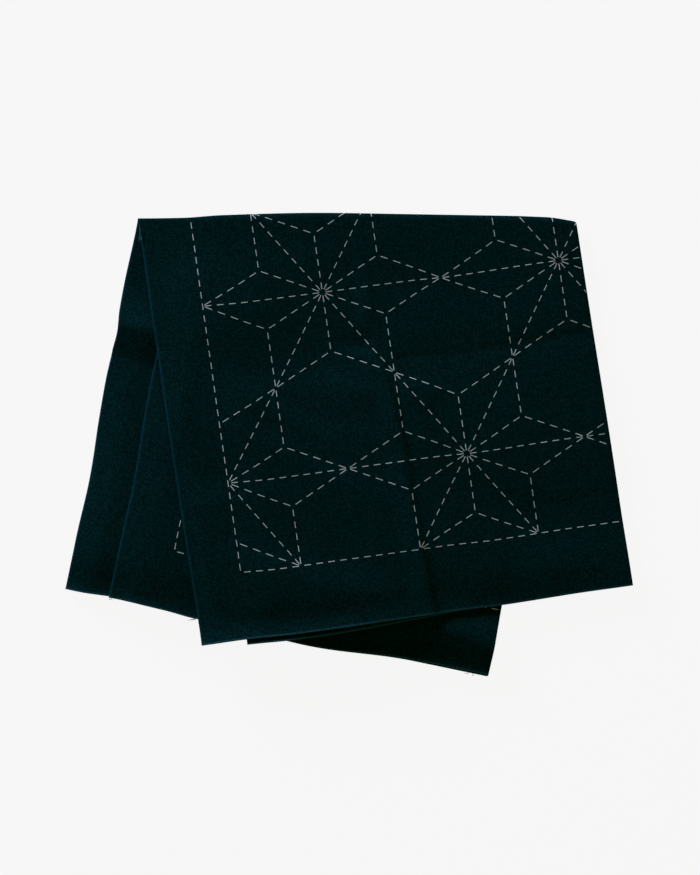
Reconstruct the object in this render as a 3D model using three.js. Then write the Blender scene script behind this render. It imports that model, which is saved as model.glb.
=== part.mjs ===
import * as THREE from "three";

// Folded sashiko sampler: one square of plain cotton cloth, folded twice and laid flat.
// Millimetres. +X is to the right of the folded cloth, +Y runs towards its long top fold, and +Z is up.
// The origin is under the middle of the cloth, on the surface that it lies on.
//
// The flat cloth is measured by s, from the front layer's free side across to the back layer's
// free side, and by a row number v, from the front end (0) over the top fold (1 to 2) to the back
// end (3). The first fold runs along the cloth and doubles it into a strip of two layers. The
// second fold turns that strip back under itself, a little askew, so four layers lie on each other.

// Sizes of the cloth
const CLOTH_ACROSS = 345;
const SHEET_THICK = 1.0;
const LAYER_GAP = 0.5;
const PITCH = SHEET_THICK + LAYER_GAP;
const HALF_SHEET = SHEET_THICK / 2;

// First fold: its distance from the free side, half its height, and how far in the layers close up
const FIRST_FOLD_AT = 182;
const FIRST_FOLD_RADIUS = 1.1;
const FIRST_FOLD_REACH = 28;
const JOINT_START = FIRST_FOLD_AT - (Math.PI * FIRST_FOLD_RADIUS) / 2;
const STRIP_WIDTH = JOINT_START + FIRST_FOLD_RADIUS + HALF_SHEET;
const SHORT_SIDE_AT = JOINT_START - (CLOTH_ACROSS - FIRST_FOLD_AT - (Math.PI * FIRST_FOLD_RADIUS) / 2);

// Second fold: the inner layer's radius, how far down the stack closes up, its slight bow, and how
// far off square the strip crosses it
const SECOND_FOLD_RADIUS = 1.1;
const SECOND_FOLD_REACH = 34;
const SECOND_FOLD_BOW = { at: 0.42, before: 0.42, after: 0.5, out: 2.1 };
const FOLD_INSET = SECOND_FOLD_RADIUS + PITCH + HALF_SHEET;
const LEAN_DEGREES = 8.9;

// Outline of the folded cloth, seen from above
const CORNERS = {
  foldFree: { x: -88.7, y: 94.9 },
  foldDoubled: { x: 95.7, y: 94.5 },
  frontFree: { x: -61.2, y: -83.9 },
  frontDoubled: { x: 118.6, y: -58.4 },
  backFree: { x: -118.6, y: -61.2 },
  backDoubled: { x: 58.3, y: -97.0 },
};

// How far the short layer's end reaches past the long layer's end, in the front and back halves
const FRONT_END_STEP = { out: 2.3, from: 0.72, over: 0.45 };
const BACK_END_STEP = { free: 1.2, doubled: -0.9 };

// The back half's free side draws in a little, and its end swells out at one place
const BACK_SIDE_BOW = 1.1;
const BACK_END_SWELL = { at: 0.55, reach: 0.2, out: 2.8 };

// Ridges of the back half. Places are distances from the second fold, on the free side and on the
// doubled side, and rise and fall are the lengths of the flanks before and after the crest.
const BACK_RIDGES = [
  {
    free: { at: 44, height: 2.2, rise: 24, fall: 14 },
    doubled: { at: 80, height: 0.4, rise: 24, fall: 20 },
  },
  {
    free: { at: 139, height: 2.2, rise: 46, fall: 17 },
    doubled: { at: 180, height: 3.2, rise: 40, fall: 13 },
  },
];

// The front layers stand off a little between the second fold, the two creases and the free end
const FRONT_LOFT = 1.0;
const FRONT_CREASE = { free: 65, doubled: 37, flank: 16, keep: 0.15 };
const FRONT_RIDGE = { across: 90, from: 70, height: 0.8, leftFlank: 13, rightFlank: 6 };
const END_REACH = 22;

// How far past the edge of what carries it a layer comes down
const SIDE_DROOP = 34;
const END_DROOP = 16;
const SHORT_SIDE_DROOP = 16;

// Steps of the mesh
const STEPS = {
  pastShortSide: 3,
  leftOfRidge: 7,
  rightOfRidge: 8,
  firstFold: 7,
  frontEnd: 8,
  frontLength: 18,
  secondFold: 9,
  backLength: 16,
  backEnd: 11,
};

// Shares of the two halves' lengths where the rows lie closer, by their ends
const FRONT_END_ROWS = 0.2;
const BACK_END_ROWS = 0.28;

const CLOTH_COLOUR = 0x0b2a2e;

// Small helpers
const clamp01 = (x) => Math.min(Math.max(x, 0), 1);
const ease = (x) => clamp01(x) ** 2 * (3 - 2 * clamp01(x));
const mix = (a, b, share) => a + (b - a) * share;
const mixPoint = (a, b, share) => ({ x: mix(a.x, b.x, share), y: mix(a.y, b.y, share) });

// A soft bump: 1 at its crest, 0 past its two flanks
const bump = (x, before, after = before) => ease(1 - Math.abs(x) / (x < 0 ? before : after));

// Half the distance between the strip's two layers, wider near the first fold
function halfSpacing(u) {
  const near = ease((u - (JOINT_START - FIRST_FOLD_REACH)) / FIRST_FOLD_REACH);
  return mix(PITCH / 2, FIRST_FOLD_RADIUS, near);
}

// First fold: s across the flat cloth becomes u across the strip, and w off its middle plane.
// The layer with the free side is at +w, then come a half circle and the other layer at -w.
function foldOnce(s) {
  const turn = (s - JOINT_START) / FIRST_FOLD_RADIUS;
  if (turn < 0) return { u: s, w: halfSpacing(s) };
  if (turn < Math.PI) {
    const u = JOINT_START + FIRST_FOLD_RADIUS * Math.sin(turn);
    return { u, w: FIRST_FOLD_RADIUS * Math.cos(turn) };
  }
  const u = JOINT_START - FIRST_FOLD_RADIUS * (turn - Math.PI);
  return { u, w: -halfSpacing(u) };
}

// The second fold's line, its directions along and outwards, and the lean of the strip across it
const FOLD_LINE = new THREE.Vector2(
  CORNERS.foldDoubled.x - CORNERS.foldFree.x,
  CORNERS.foldDoubled.y - CORNERS.foldFree.y,
).normalize();
const FOLD_OUT = new THREE.Vector2(-FOLD_LINE.y, FOLD_LINE.x);
const FOLD_LEAN = Math.sin(THREE.MathUtils.degToRad(LEAN_DEGREES));

// Middle line of the second fold at a share p of the strip's width, with its slight bow
function foldPoint(p) {
  const line = mixPoint(CORNERS.foldFree, CORNERS.foldDoubled, p);
  const { at, before, after, out: most } = SECOND_FOLD_BOW;
  const out = most * bump(p - at, before, after) - FOLD_INSET;
  return { x: line.x + FOLD_OUT.x * out, y: line.y + FOLD_OUT.y * out };
}

// One half of the strip, in plan: straight lines from the second fold to the strip's end
const HALVES = {
  front: { free: CORNERS.frontFree, doubled: CORNERS.frontDoubled },
  back: { free: CORNERS.backFree, doubled: CORNERS.backDoubled },
};

function planColumn(half, p) {
  const top = foldPoint(p);
  const end = mixPoint(HALVES[half].free, HALVES[half].doubled, p);
  const straight = Math.hypot(end.x - top.x, end.y - top.y);
  const { at, reach, out } = BACK_END_SWELL;
  const length = straight + (half === "back" ? out * bump(p - at, reach) : 0);
  return { top, end: mixPoint(top, end, length / straight), length };
}

function planPoint(half, p, distance) {
  const column = planColumn(half, p);
  const share = distance / column.length;
  const place = mixPoint(column.top, column.end, share);
  if (half === "back") place.x += BACK_SIDE_BOW * (1 - p) * 4 * share * (1 - share);
  return place;
}

// How far past a column's end the layer at w reaches: nothing for the long layer, at +spacing
function endStep(half, p, w, spacing) {
  const front = FRONT_END_STEP.out * ease((FRONT_END_STEP.from - p) / FRONT_END_STEP.over);
  const back = mix(BACK_END_STEP.free, BACK_END_STEP.doubled, p);
  return ((half === "front" ? front : back) * (spacing - w)) / (2 * spacing);
}

// The reverse of planPoint: share of the width and distance from the second fold, found in a few
// straight-line corrections
function planShare(half, x, y) {
  let p = 0.5;
  let distance = 80;
  const step = 0.001;
  for (let round = 0; round < 6; round += 1) {
    const here = planPoint(half, p, distance);
    const across = planPoint(half, p + step, distance);
    const along = planPoint(half, p, distance + 1);
    const ax = (across.x - here.x) / step;
    const ay = (across.y - here.y) / step;
    const bx = along.x - here.x;
    const by = along.y - here.y;
    const det = ax * by - ay * bx;
    const dx = x - here.x;
    const dy = y - here.y;
    p += (dx * by - dy * bx) / det;
    distance += (ax * dy - ay * dx) / det;
  }
  return { p, distance };
}

// Height that the creases of the back half add
function backLift(p, distance) {
  const share = clamp01(p);
  let lift = 0;
  for (const { free, doubled } of BACK_RIDGES) {
    const here = (size) => mix(free[size], doubled[size], share);
    lift += here("height") * bump(distance - here("at"), here("rise"), here("fall"));
  }
  return lift;
}

// How far a sheet has come down for want of the short layer under it: 0 on that layer, 1 well past
// its side, and 0 again at the second fold
function pastShortSide(u, distance) {
  return ease((SHORT_SIDE_AT - u) / SHORT_SIDE_DROOP) * ease(distance / SECOND_FOLD_REACH);
}

// Height of the lowest sheet of the front half: on the back half where that reaches, and coming
// down to the surface beyond its edges
function restHeight(x, y) {
  const place = planShare("back", x, y);
  const column = planColumn("back", clamp01(place.p));
  const u = Math.min(place.p * STRIP_WIDTH, JOINT_START);
  const inner = 2 * halfSpacing(u) * (1 - pastShortSide(u, place.distance));
  const fold = 2 * SECOND_FOLD_RADIUS - PITCH;
  const spring = fold * ease(1 - place.distance / SECOND_FOLD_REACH);
  const above = backLift(place.p, Math.min(place.distance, column.length)) + inner + PITCH + spring;
  const pastSide = (place.p - 1) * STRIP_WIDTH;
  const pastEnd = place.distance - column.length - Math.max(BACK_END_STEP.free, 0);
  const side = ease(1 - pastSide / SIDE_DROOP);
  const end = ease(1 - pastEnd / END_DROOP);
  return HALF_SHEET + above * side * end;
}

// Height that the front half's layers stand off, less along its creases and towards its end
function frontLift(p, distance, length) {
  const share = clamp01(p);
  const crease = mix(FRONT_CREASE.free, FRONT_CREASE.doubled, share);
  const dip = 1 - (1 - FRONT_CREASE.keep) * bump(distance - crease, FRONT_CREASE.flank);
  const start = ease(distance / SECOND_FOLD_REACH);
  const end = ease((length + 2 - distance) / END_REACH);
  const offRidge = share * STRIP_WIDTH - FRONT_RIDGE.across;
  const { from, height, leftFlank, rightFlank } = FRONT_RIDGE;
  const ridge = height * ease((distance - from) / leftFlank) * bump(offRidge, leftFlank, rightFlank);
  return start * end * (FRONT_LOFT * dip + ridge);
}

// Second fold: the strip at u, w and row v becomes a place in space
function foldTwice(s, v) {
  const { u, w } = foldOnce(s);
  const p = u / STRIP_WIDTH;
  const spacing = halfSpacing(Math.min(u, JOINT_START));
  const radius = SECOND_FOLD_RADIUS + spacing + w;
  const turn = (Math.PI / 2) * radius;
  const axisHeight = HALF_SHEET + SECOND_FOLD_RADIUS + 2 * spacing;
  if (v > 1 && v < 2) {
    const angle = (1.5 - v) * Math.PI;
    const line = foldPoint(p);
    const lean = angle * radius * FOLD_LEAN;
    const out = radius * Math.cos(angle);
    return new THREE.Vector3(
      line.x + FOLD_LINE.x * lean + FOLD_OUT.x * out,
      line.y + FOLD_LINE.y * lean + FOLD_OUT.y * out,
      axisHeight + radius * Math.sin(angle),
    );
  }
  const half = v <= 1 ? "front" : "back";
  const side = v <= 1 ? 1 : -1;
  const column = planColumn(half, p);
  const distance = (v <= 1 ? 1 - v : v - 2) * (column.length + endStep(half, p, w, spacing));
  const plan = planPoint(half, p, distance);
  const lean = side * turn * FOLD_LEAN * (1 - distance / column.length);
  const x = plan.x + FOLD_LINE.x * lean;
  const y = plan.y + FOLD_LINE.y * lean;
  if (half === "back") {
    return new THREE.Vector3(x, y, HALF_SHEET + spacing - w + backLift(p, distance));
  }
  const alone = w > 0 ? PITCH * pastShortSide(u, distance) : 0;
  const height = restHeight(x, y) + spacing + w - alone + frontLift(p, distance, column.length);
  return new THREE.Vector3(x, y, height);
}

// Outward direction of the printed face at s and v, from four close places around it
function faceDirection(s, v) {
  const ds = 0.05;
  const dv = 0.0005;
  const across = foldTwice(s + ds, v).sub(foldTwice(s - ds, v));
  const along = foldTwice(s, v + dv).sub(foldTwice(s, v - dv));
  return across.cross(along).normalize();
}

// Evenly spread numbers, both ends included
function spread(from, to, steps) {
  return Array.from({ length: steps + 1 }, (_, i) => mix(from, to, i / steps));
}

function join(...lists) {
  return lists.flatMap((list, i) => (i === 0 ? list : list.slice(1)));
}

// The closed sheet: a grid of places on its middle, moved half a thickness each way, with the
// four edges joined
function sheetGeometry() {
  const jointEnd = JOINT_START + Math.PI * FIRST_FOLD_RADIUS;
  const bothLayers = join(
    spread(SHORT_SIDE_AT, FRONT_RIDGE.across, STEPS.leftOfRidge),
    spread(FRONT_RIDGE.across, JOINT_START, STEPS.rightOfRidge),
  );
  const columns = join(
    spread(0, SHORT_SIDE_AT, STEPS.pastShortSide),
    bothLayers,
    spread(JOINT_START, jointEnd, STEPS.firstFold),
    bothLayers.map((u) => jointEnd + JOINT_START - u).reverse(),
  );
  const rows = join(
    spread(0, FRONT_END_ROWS, STEPS.frontEnd),
    spread(FRONT_END_ROWS, 1, STEPS.frontLength),
    spread(1, 2, STEPS.secondFold),
    spread(2, 3 - BACK_END_ROWS, STEPS.backLength),
    spread(3 - BACK_END_ROWS, 3, STEPS.backEnd),
  );
  const positions = [];
  for (const side of [1, -1]) {
    for (const v of rows) {
      for (const s of columns) {
        const place = foldTwice(s, v).addScaledVector(faceDirection(s, v), side * HALF_SHEET);
        positions.push(place.x, place.y, place.z);
      }
    }
  }
  const wide = columns.length;
  const tall = rows.length;
  const under = wide * tall;
  const indices = [];
  const quad = (a, b, c, d) => indices.push(a, b, c, a, c, d);
  for (let j = 0; j < tall - 1; j += 1) {
    for (let i = 0; i < wide - 1; i += 1) {
      const a = j * wide + i;
      quad(a, a + 1, a + 1 + wide, a + wide);
      quad(under + a, under + a + wide, under + a + 1 + wide, under + a + 1);
    }
  }
  for (let i = 0; i < wide - 1; i += 1) {
    const last = (tall - 1) * wide + i;
    quad(under + i, under + i + 1, i + 1, i);
    quad(last, last + 1, under + last + 1, under + last);
  }
  for (let j = 0; j < tall - 1; j += 1) {
    const first = j * wide;
    const last = first + wide - 1;
    quad(first, first + wide, under + first + wide, under + first);
    quad(under + last, under + last + wide, last + wide, last);
  }
  const geometry = new THREE.BufferGeometry();
  geometry.setAttribute("position", new THREE.Float32BufferAttribute(positions, 3));
  geometry.setIndex(indices);
  geometry.computeVertexNormals();
  return geometry;
}

const sampler = new THREE.Group();
const cloth = new THREE.Mesh(
  sheetGeometry(),
  new THREE.MeshStandardMaterial({ color: CLOTH_COLOUR, roughness: 0.9, metalness: 0 }),
);
cloth.name = "folded_cloth";
sampler.add(cloth);

export default sampler;
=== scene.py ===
"""Folded sashiko sampler: the cloth, its printed stitching guide and its loose threads.

The flat cloth is measured by s across it and by a row number v along it: 0 at the front end, 1 to 2
round the second fold, 3 at the back end. The first fold makes a strip of two layers, measured by u
from its free side, or p as a share of its width, and by w off its middle plane. A place on either half
of the strip has its distance from the second fold. Sizes are millimetres until a mesh is made in metres.
"""

import math

import bpy
import numpy as np
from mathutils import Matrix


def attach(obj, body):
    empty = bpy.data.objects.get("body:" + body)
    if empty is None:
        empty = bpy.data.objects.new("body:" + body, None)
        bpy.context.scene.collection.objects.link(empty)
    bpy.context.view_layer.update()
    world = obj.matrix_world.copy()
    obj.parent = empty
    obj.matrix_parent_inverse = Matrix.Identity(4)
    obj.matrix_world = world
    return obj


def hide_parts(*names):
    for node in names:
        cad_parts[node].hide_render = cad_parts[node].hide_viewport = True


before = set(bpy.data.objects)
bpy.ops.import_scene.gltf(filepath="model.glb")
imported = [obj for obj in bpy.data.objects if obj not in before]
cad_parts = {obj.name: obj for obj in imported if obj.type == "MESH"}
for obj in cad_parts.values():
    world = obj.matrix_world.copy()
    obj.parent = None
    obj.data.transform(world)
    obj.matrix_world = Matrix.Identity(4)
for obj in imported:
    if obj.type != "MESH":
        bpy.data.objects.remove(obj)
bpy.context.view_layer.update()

MM = 0.001
SEED = 20

# Sizes of the cloth. Its layers lie PITCH apart, and CLOSE apart along their free sides and ends,
# EDGE_CLOSE wide.
CLOTH_ACROSS = 345.0
HALF_SHEET = 0.16
PITCH = 0.9
CLOSE = 0.35
EDGE_CLOSE = 16.0

# First fold. The joint is the half turn of cloth in it, and the layers open towards it over its reach.
FIRST_FOLD_AT = 182.0
FIRST_FOLD_RADIUS = 0.55
FIRST_FOLD_REACH = 28.0
HALF_TURN = math.pi * FIRST_FOLD_RADIUS
JOINT_START = FIRST_FOLD_AT - HALF_TURN / 2
JOINT_END = JOINT_START + HALF_TURN
STRIP_WIDTH = JOINT_START + FIRST_FOLD_RADIUS + HALF_SHEET
SHORT_SIDE_AT = JOINT_START - (CLOTH_ACROSS - JOINT_END)

# Second fold. Soft bumps bow its line outwards at shares of the width, and the strip crosses it
# STRIP_ASKEW degrees out of square.
SECOND_FOLD_RADIUS = 1.1
SECOND_FOLD_REACH = 34.0
SECOND_FOLD_BOWS = [
    dict(at=0.42, before=0.42, after=0.5, out=1.9),
    dict(at=0.85, before=0.35, after=0.12, out=0.7),
    dict(at=1.04, before=0.11, after=0.11, out=-2.6),
]
STRIP_ASKEW = 8.9
FOLD_LEAN = math.sin(math.radians(STRIP_ASKEW))
FOLD_INSET = SECOND_FOLD_RADIUS + PITCH + HALF_SHEET

# Outline of the folded cloth, seen from above, from the middle of its box: both ends of the second
# fold, and the free and the doubled corner of each half's end
FOLD_FREE, FOLD_DOUBLED = np.array([-89.3, 96.0]), np.array([95.4, 95.6])
ENDS = {
    "front": (np.array([-61.6, -84.3]), np.array([119.3, -59.2])),
    "back": (np.array([-119.2, -60.6]), np.array([58.4, -97.9])),
}
FOLD_LINE = (FOLD_DOUBLED - FOLD_FREE) / np.linalg.norm(FOLD_DOUBLED - FOLD_FREE)
FOLD_OUT = np.array([-FOLD_LINE[1], FOLD_LINE[0]])

# How far one layer of a half reaches past the other at its end
FRONT_END_STEP = dict(out=2.3, start=0.72, over=0.45)
BACK_END_STEP = dict(free=0.7, doubled=-0.9)
PAST_END = 2.0

# Soft swells of the ends, at shares of the width, and of the back half's free side, at distances
END_SWELLS = {
    "back": [
        dict(at=0.58, before=0.27, after=0.24, out=2.75),
        dict(at=0.31, before=0.07, after=0.06, out=0.8),
        dict(at=0.13, before=0.09, after=0.15, out=-0.8),
        dict(at=0.0, before=0.08, after=0.08, out=0.4),
    ],
    "front": [
        dict(at=0.7, before=0.12, after=0.2, out=0.55),
        dict(at=0.1, before=0.2, after=0.12, out=-0.7),
    ],
}
BACK_SIDE_WAVES = [
    dict(at=28.0, before=26.0, after=16.0, out=0.6),
    dict(at=46.5, before=9.0, after=9.0, out=-0.75),
    dict(at=68.0, before=18.0, after=34.0, out=0.6),
    dict(at=112.0, before=26.0, after=26.0, out=-0.7),
    dict(at=160.0, before=22.0, after=22.0, out=0.7),
]

# Ridges of the back half: distances on the free and the doubled side, heights at shares of the width,
# and the shares between which a ridge fades. "crisp" is how sharp its crest is, and "bow" draws a
# stretch of it towards the fold. The front half rides over them: "over" has its own rise, fall and fade.
BACK_RIDGES = [
    dict(at=(43.8, 80), height=[(0, 4.3), (1, 4.3)], rise=(17, 24), fall=(12.5, 20),
         crisp=(0.85, 0.85), bow=[], fade=(0.1, 0.27),
         over=dict(rise=48, fall=100, fade=(0.08, 0.55))),
    dict(at=(140, 180.3), height=[(0, 3.4), (0.1, 2.5), (0.2, 1.1), (0.4, 1.4), (0.8, 4.1), (1, 4.5)],
         rise=(50, 21), fall=(19, 11), crisp=(0.1, 0.8),
         bow=[dict(at=0.78, before=0.4, after=0.22, out=-2.0)], fade=(2, 3),
         over=dict(rise=48, fall=80, fade=(2, 3))),
]
CREST_ROUND = 0.08
CREST_CURVE = 2.0
# Near its own end, past a share of the width, the front half follows the ridges closely
NEAR_END = dict(reach=40.0, start=0.66, over=0.2)

# The front half's loft grows over LOFT_REACH from the second fold and goes over END_REACH at its end.
# Past an edge of what carries it, a layer comes down over a droop.
FRONT_LOFT = 2.75
LOFT_REACH = 120.0
END_REACH = 75.0
SIDE_DROOP = 165.0
END_DROOP = 130.0
SHORT_SIDE_DROOP = 16.0

# Free sides roll down: the lower and the upper layer of the back half, then those of the front half.
# The roll grows to its full drop over ROLL_START from the second fold.
ROLL_BACK_LONG = dict(drop=3.7, over=12.5)
ROLL_BACK_SHORT = dict(drop=2.5, over=16.0)
ROLL_FRONT_SHORT = dict(drop=0.2, over=9.0)
ROLL_FRONT_LONG = dict(drop=1.7, over=8.0)
ROLL_POWER = 1.4
ROLL_START = 110.0
# How far in they level off again: near the second fold, and past a stretch in the middle
ROLL_FADE = (108.0, 300.0)
ROLL_FADE_FROM = 100.0
ROLL_FADE_OVER = 62.0

# Cut ends curl up: the back half's on the free and the doubled side, and the front half's up to a
# share of the width, by at most "most" of its reach
BACK_CURL = dict(height=(0.8, 0.35), over=(5.0, 3.0))
FRONT_CURL = dict(height=2.5, over=9.0, most=1.3, full=0.33, gone=0.56)

# Slight unevenness of the whole stack: waves of these lengths and heights in random directions
UNEVEN_LENGTHS = (16.0, 48.0)
UNEVEN_HEIGHT = 0.035
UNEVEN_BASE = 0.17
UNEVEN_WAVES = 14

# Creases of the front half, as seen on its upper layer. Places are (u, t): u from the free side and
# t from the front end. A positive height is a ridge. "left" is the flank to the left hand of someone
# who walks from the first place to the last, and a taper is one length or one for each end.
FRONT_CREASES = {
    "long crease, lower half": dict(
        line=[(96.9, -8), (95.1, 52), (93.8, 85), (92.6, 101), (87, 112)],
        height=1.05, left=9, right=4, taper=8),
    "long crease, upper half": dict(
        line=[(86.5, 120), (89.3, 139), (92.3, 172)], height=0.75, left=5, right=12, taper=8),
    "cross crease, free half": dict(
        line=[(22, 112), (42, 111.5), (63, 111), (85, 110)], height=-0.55, left=26, right=12, taper=18),
    "broad valley, free half": dict(
        line=[(-25, 113), (96, 114)], height=-2.3, left=40, right=100, taper=50),
    "broad ridge, lower half": dict(
        line=[(97, 16), (90, 118)], height=1.9, left=88, right=80, taper=44),
    "cross crease, doubled half": dict(
        line=[(94, 119), (134, 118.2), (160, 118.2), (184, 119.4)],
        height=0.5, left=45, right=10.5, taper=8),
    "its sharp foot": dict(
        line=[(93, 108.4), (134, 107.8), (160, 107.9), (184, 109.2)],
        height=-0.36, left=2.2, right=10, taper=6),
    "pinch where they cross": dict(
        line=[(74, 117.5), (90, 114.5)], height=-0.95, left=8, right=5, taper=4),
    "soft wrinkle 1": dict(
        line=[(22, 113), (48, 90), (98, 48)], height=1.8, left=9, right=26, taper=(24, 64)),
    "soft wrinkle 2": dict(
        line=[(22, 92), (59, 64), (94, 38)], height=1.7, left=10, right=28, taper=(28, 44)),
    "soft wrinkle 3": dict(
        line=[(95, 101), (116, 88)], height=1.2, left=6, right=12, taper=(12, 9)),
    "soft wrinkle 4": dict(
        line=[(62, 165.5), (84, 151)], height=0.7, left=7, right=18, taper=10),
    "soft wrinkle 5": dict(
        line=[(4, 37), (62, 15), (92, 5)], height=2.1, left=13, right=140, taper=(34, 42)),
    "soft wrinkle 6": dict(
        line=[(60, 106), (92, 91)], height=1.2, left=7, right=13, taper=(20, 14)),
    "soft wrinkle 7": dict(
        line=[(8, 160), (34, 150)], height=0.5, left=10, right=24, taper=12),
    "swell along the free side": dict(
        line=[(9, 70), (9.5, 0)], height=1.2, left=60, right=7.5, taper=(14, 36)),
    "faint line": dict(
        line=[(146, 65.5), (182, 67.5)], height=-0.15, left=2.5, right=2, taper=8),
}

# The search for the column under a place: where it starts, its small step and its rounds
SEARCH_SHARE = 0.5
SEARCH_DISTANCE = 80.0
SEARCH_STEP = 0.001
SEARCH_ROUNDS = 6
# Small steps in s and v that give the slopes of the cloth
SLOPE_STEPS = (0.04, 0.0004)


# Small helpers

def ease(x):
    """Smooth step: 0 below 0, 1 above 1, and 3x squared less 2x cubed between."""
    x = np.clip(x, 0.0, 1.0)
    return x * x * (3.0 - 2.0 * x)


def mix(a, b, share):
    """A straight line from a at share 0 to b at share 1."""
    return a + (b - a) * share


def bump(x, before, after):
    """Soft bump: 1 at x = 0, easing to 0 at -before and at +after."""
    return ease(1.0 - np.abs(x) / np.where(x < 0, before, after))


def crest(x, before, after):
    """Sharper bump: a curve of power 2 up to x = 0 and a straight fall after it, slightly rounded."""
    q = np.abs(x) / np.where(x < 0, before, after)
    q = np.sqrt(q * q + CREST_ROUND ** 2) - CREST_ROUND
    return np.clip(1.0 - q, 0.0, 1.0) ** np.where(x < 0, CREST_CURVE, 1.0)


def waves(x, rows):
    """Sum of soft bumps, each out by its own amount at its own place."""
    return sum(row["out"] * bump(x - row["at"], row["before"], row["after"]) for row in rows)


def unit(vectors):
    """Vectors divided by their lengths."""
    return vectors / np.linalg.norm(vectors, axis=-1, keepdims=True)


# The folds in plan, as in the solid

def half_spacing(u, to_end=math.inf):
    """Half the distance between the strip's two layers. A smooth step takes it from half of CLOSE at
    the short side and at an end to half of PITCH further in, and another to the first fold's radius."""
    inner = mix(CLOSE, PITCH, ease((u - SHORT_SIDE_AT) / EDGE_CLOSE) * ease(to_end / EDGE_CLOSE)) / 2
    near = ease((u - (JOINT_START - FIRST_FOLD_REACH)) / FIRST_FOLD_REACH)
    return mix(inner, FIRST_FOLD_RADIUS, near)


def fold_once(s):
    """First fold: u across the strip and w off its middle plane. Before the joint u is s and w is the
    half spacing; on the joint they follow a half circle; after it u runs back and w is negative."""
    turn = np.clip((s - JOINT_START) / FIRST_FOLD_RADIUS, 0.0, math.pi)
    u = np.where(s < JOINT_START, s, JOINT_START + FIRST_FOLD_RADIUS * np.sin(turn))
    u = np.where(s > JOINT_END, JOINT_START + JOINT_END - s, u)
    w = FIRST_FOLD_RADIUS * np.cos(turn)
    w = np.where(s < JOINT_START, half_spacing(u), w)
    w = np.where(s > JOINT_END, -half_spacing(u), w)
    return u, w


def fold_point(p):
    """Middle line of the second fold at share p of the width: a straight line, drawn in by the
    stack's own radius and bowed outwards a little, with a rounded corner at the doubled side."""
    out = waves(p, SECOND_FOLD_BOWS) - FOLD_INSET
    return mix(FOLD_FREE, FOLD_DOUBLED, p[..., None]) + FOLD_OUT * out[..., None]


def plan_column(half, p):
    """One straight column of a half: its top on the fold, its unit direction and its length."""
    top = fold_point(p)
    way = mix(*ENDS[half], p[..., None]) - top
    straight = np.linalg.norm(way, axis=-1)
    length = straight + waves(p, END_SWELLS[half])
    return top, way / straight[..., None], length


def plan_point(half, p, distance):
    """Place in plan at a distance from the second fold along column p. The back half's free side
    wanders in and out a little, which fades across the strip with the square of the share left."""
    top, way, _ = plan_column(half, p)
    place = top + way * distance[..., None]
    if half == "back":
        place[..., 0] -= waves(distance, BACK_SIDE_WAVES) * (1 - np.clip(p, 0, 1)) ** 2
    return place


def plan_share(half, x, y):
    """The reverse of plan_point, by Newton's steps with finite differences."""
    p = np.full(np.shape(x), SEARCH_SHARE)
    distance = np.full(np.shape(x), SEARCH_DISTANCE)
    for _ in range(SEARCH_ROUNDS):
        here = plan_point(half, p, distance)
        a = (plan_point(half, p + SEARCH_STEP, distance) - here) / SEARCH_STEP
        b = plan_point(half, p, distance + 1.0) - here
        det = a[..., 0] * b[..., 1] - a[..., 1] * b[..., 0]
        dx, dy = x - here[..., 0], y - here[..., 1]
        p = p + (dx * b[..., 1] - dy * b[..., 0]) / det
        distance = distance + (a[..., 0] * dy - a[..., 1] * dx) / det
    return p, distance


def end_step(half, p, w, spacing):
    """How far past its column's end the layer at w reaches: nothing at +spacing, all at -spacing."""
    front = FRONT_END_STEP["out"] * ease((FRONT_END_STEP["start"] - p) / FRONT_END_STEP["over"])
    back = mix(BACK_END_STEP["free"], BACK_END_STEP["doubled"], p)
    return (front if half == "front" else back) * (spacing - w) / (2 * spacing)


# Heights

def back_lift(p, distance, length, over=False):
    """Height that the back half's ridges add, as soft or crisp bumps across the column, and its end's
    curl, which grows with the square of the way into the last stretch. With over, the wider and softer
    lift by which the front half rides over them."""
    p = np.clip(p, 0.0, 1.0)
    reach = mix(*BACK_CURL["over"], p)
    lift = mix(*BACK_CURL["height"], p) * np.clip(1 - (length - distance) / reach, 0, 1) ** 2
    for ridge in BACK_RIDGES:
        at, rise, fall, crisp = (mix(*ridge[key], p) for key in ("at", "rise", "fall", "crisp"))
        fade = ridge["fade"]
        if over:
            rise, fall, fade = (ridge["over"][key] for key in ("rise", "fall", "fade"))
            crisp = 0.0
        way = distance - (at + waves(p, ridge["bow"]))
        height = np.interp(p, *zip(*ridge["height"]))
        height = height * (1 - ease((p - fade[0]) / (fade[1] - fade[0])))
        lift = lift + height * mix(bump(way, rise, fall), crest(way, rise, fall), crisp)
    return lift


def side_roll(u, distance, drop, over):
    """Height beside a free side: 0 at the side itself, rising to the full drop with a power of the
    way in, and eased away again further in. It grows with the distance from the second fold."""
    rise = 1 - np.clip(1 - u / over, 0, 1) ** ROLL_POWER
    fade = mix(*ROLL_FADE, ease((distance - ROLL_FADE_FROM) / ROLL_FADE_OVER))
    return drop * np.where(u > 0, rise, 0) * ease(1 - (u - over) / fade) * ease(distance / ROLL_START)


def back_rolls(u, distance, upper):
    """Rolled sides of the back half: the long layer's, and on its upper layer the short one's too."""
    short = side_roll(u - SHORT_SIDE_AT, distance, **ROLL_BACK_SHORT)
    return side_roll(u, distance, **ROLL_BACK_LONG) + np.where(upper, short, 0)


def front_rolls(u, distance, upper):
    """Rolled sides of the front half, where the long layer is the upper one."""
    long = side_roll(u, distance, **ROLL_FRONT_LONG)
    return side_roll(u - SHORT_SIDE_AT, distance, **ROLL_FRONT_SHORT) + np.where(upper, long, 0)


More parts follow.
